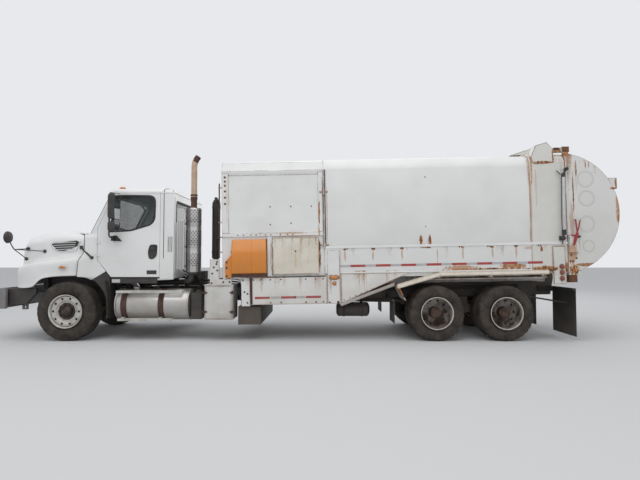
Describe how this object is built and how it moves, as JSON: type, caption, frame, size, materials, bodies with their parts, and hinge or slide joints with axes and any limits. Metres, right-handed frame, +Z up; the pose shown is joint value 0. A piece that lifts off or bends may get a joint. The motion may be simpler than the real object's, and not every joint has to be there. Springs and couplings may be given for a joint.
{
  "type": "side-loading refuse truck",
  "caption": "Side-loading refuse truck with a conventional day cab, a tipping packer body, a rounded tailgate and a bin-lifting arm.",
  "frame": {"origin": "on the ground, under the middle of the truck's overall length and width", "axes": "+X forward, +Y to the truck's left, +Z up"},
  "size_m": [11.8498, 2.8, 3.7939],
  "materials": {
    "white_paint": "gloss white paint, dulled, with rust at seams",
    "frame_black": "black chassis paint under road dirt",
    "body_white": "white body paint with rust streaks",
    "orange_cover": "moulded orange cover",
    "tyre_rubber": "worn tread, dusty",
    "rim_front_steel": "white steel disc, dirty",
    "rim_rear_steel": "white steel disc, dirty",
    "window_glass": "tinted safety glass",
    "black_trim": "black moulded plastic",
    "seat_cloth": "grey woven seat cover",
    "rubber_black": "black rubber sheet",
    "tank_aluminium": "dull aluminium with rusty straps",
    "exhaust_steel": "polished steel, stained",
    "engine_iron": "cast iron, oily",
    "lamp_clear": "clear lamp lens",
    "arm_black": "black enamel, worn bright at the edges",
    "cylinder_steel": "black cylinder barrel with a chromed rod",
    "bumper_paint": "grey bumper paint"
  },
  "bodies": {
    "chassis": {"chassis_frame": "frame_black", "front_bumper": "bumper_paint", "engine_block": "engine_iron", "front_axle": "frame_black", "rear_axles": "frame_black", "cab_floor": "frame_black", "cab_front": "white_paint", "cab_glass": "window_glass", "cab_rear_wall": "white_paint", "cab_roof": "white_paint", "cab_fenders": "white_paint", "seats": "seat_cloth", "dashboard": "black_trim", "side_tanks": "tank_aluminium", "battery_box": "frame_black", "exhaust_stack": "exhaust_steel", "service_cabinet": "body_white", "hoist_cylinder": "cylinder_steel", "mud_flaps": "rubber_black", "arm_housing": "arm_black"},
    "knuckle_left": {"knuckle_left": "frame_black"},
    "knuckle_right": {"knuckle_right": "frame_black"},
    "wheel_front_left": {"tyre_front_left": "tyre_rubber", "rim_front_left": "rim_front_steel"},
    "wheel_middle_left": {"tyre_middle_left": "tyre_rubber", "rim_middle_left": "rim_rear_steel"},
    "wheel_rear_left": {"tyre_rear_left": "tyre_rubber", "rim_rear_left": "rim_rear_steel"},
    "door_left": {"door_left": "white_paint", "door_glass_left": "window_glass", "mirror_left": "black_trim"},
    "wheel_front_right": {"tyre_front_right": "tyre_rubber", "rim_front_right": "rim_front_steel"},
    "wheel_middle_right": {"tyre_middle_right": "tyre_rubber", "rim_middle_right": "rim_rear_steel"},
    "wheel_rear_right": {"tyre_rear_right": "tyre_rubber", "rim_rear_right": "rim_rear_steel"},
    "door_right": {"door_right": "white_paint", "door_glass_right": "window_glass", "mirror_right": "black_trim"},
    "hood": {"hood_shell": "white_paint", "grille": "black_trim", "headlamps": "lamp_clear"},
    "body": {"body_floor": "body_white", "body_sides": "body_white", "body_roof": "body_white", "rear_frame": "body_white", "hopper_walls": "body_white", "body_skirts": "body_white", "side_cover": "orange_cover", "tailgate_cylinders": "cylinder_steel"},
    "packer": {"packer_blade": "body_white"},
    "tailgate": {"tailgate_shell": "body_white"},
    "service_door": {"service_door": "body_white"},
    "arm_carriage": {"arm_carriage": "arm_black"},
    "arm_boom": {"arm_boom": "arm_black"},
    "gripper": {"gripper_head": "arm_black"},
    "claw_front": {"claw_front": "arm_black"},
    "claw_rear": {"claw_rear": "arm_black"}
  },
  "joints": [
    {"name": "steer_left", "type": "hinge", "parent": "chassis", "child": "knuckle_left", "pos_m": [4.614, 0.8, 0.562], "axis": [0, 0, 1], "range_deg": [-32, 32]},
    {"name": "steer_right", "type": "hinge", "parent": "chassis", "child": "knuckle_right", "pos_m": [4.614, -0.8, 0.562], "axis": [0, 0, 1], "range_deg": [-32, 32]},
    {"name": "spin_front_left", "type": "hinge", "parent": "knuckle_left", "child": "wheel_front_left", "pos_m": [4.614, 1.015, 0.562], "axis": [0, 1, 0], "continuous": true},
    {"name": "spin_middle_left", "type": "hinge", "parent": "chassis", "child": "wheel_middle_left", "pos_m": [-2.437, 0.915, 0.525], "axis": [0, 1, 0], "continuous": true},
    {"name": "spin_rear_left", "type": "hinge", "parent": "chassis", "child": "wheel_rear_left", "pos_m": [-3.757, 0.915, 0.525], "axis": [0, 1, 0], "continuous": true},
    {"name": "door_left_hinge", "type": "hinge", "parent": "chassis", "child": "door_left", "pos_m": [4.11, 1.046, 1.77], "axis": [0, 0, -1], "range_deg": [0, 65]},
    {"name": "spin_front_right", "type": "hinge", "parent": "knuckle_right", "child": "wheel_front_right", "pos_m": [4.614, -1.015, 0.562], "axis": [0, 1, 0], "continuous": true},
    {"name": "spin_middle_right", "type": "hinge", "parent": "chassis", "child": "wheel_middle_right", "pos_m": [-2.437, -0.915, 0.525], "axis": [0, 1, 0], "continuous": true},
    {"name": "spin_rear_right", "type": "hinge", "parent": "chassis", "child": "wheel_rear_right", "pos_m": [-3.757, -0.915, 0.525], "axis": [0, 1, 0], "continuous": true},
    {"name": "door_right_hinge", "type": "hinge", "parent": "chassis", "child": "door_right", "pos_m": [4.11, -1.046, 1.77], "axis": [0, 0, 1], "range_deg": [0, 65]},
    {"name": "hood_hinge", "type": "hinge", "parent": "chassis", "child": "hood", "pos_m": [5.735, 0, 1.03], "axis": [0, 1, 0], "range_deg": [0, 75]},
    {"name": "body_tip", "type": "hinge", "parent": "chassis", "child": "body", "pos_m": [-4.99244, 0, 1.215], "axis": [0, -1, 0], "range_deg": [0, 45]},
    {"name": "packer_slide", "type": "slide", "parent": "body", "child": "packer", "axis": [-0.9998, 0, 0.0192], "range_m": [0, 1.45]},
    {"name": "tailgate_hinge", "type": "hinge", "parent": "body", "child": "tailgate", "pos_m": [-4.88848, 0, 3.66045], "axis": [0, 1, 0], "range_deg": [0, 85]},
    {"name": "service_door_hinge", "type": "hinge", "parent": "body", "child": "service_door", "pos_m": [0.7012, 1.21, 1.61077], "axis": [-0.0192, 0, -0.9998], "range_deg": [0, 100]},
    {"name": "arm_reach", "type": "slide", "parent": "chassis", "child": "arm_carriage", "axis": [0, -1, 0], "range_m": [0, 1.2]},
    {"name": "boom_lower", "type": "hinge", "parent": "arm_carriage", "child": "arm_boom", "pos_m": [1.13, -1.12, 0.77], "axis": [1, 0, 0], "range_deg": [0, 75]},
    {"name": "gripper_tilt", "type": "hinge", "parent": "arm_boom", "child": "gripper", "pos_m": [1.13, -1.12, 2.33], "axis": [-1, 0, 0], "range_deg": [0, 225]},
    {"name": "claw_front_swing", "type": "hinge", "parent": "gripper", "child": "claw_front", "pos_m": [1.42, -1.32, 1.68], "axis": [0, 0, 1], "range_deg": [0, 110]},
    {"name": "claw_rear_swing", "type": "hinge", "parent": "gripper", "child": "claw_rear", "pos_m": [0.84, -1.32, 1.88], "axis": [0, 0, -1], "range_deg": [0, 110]}
  ],
  "couplings": [
    {"joint": "steer_right", "follows": "steer_left", "ratio": 1},
    {"joint": "claw_rear_swing", "follows": "claw_front_swing", "ratio": 1}
  ]
}
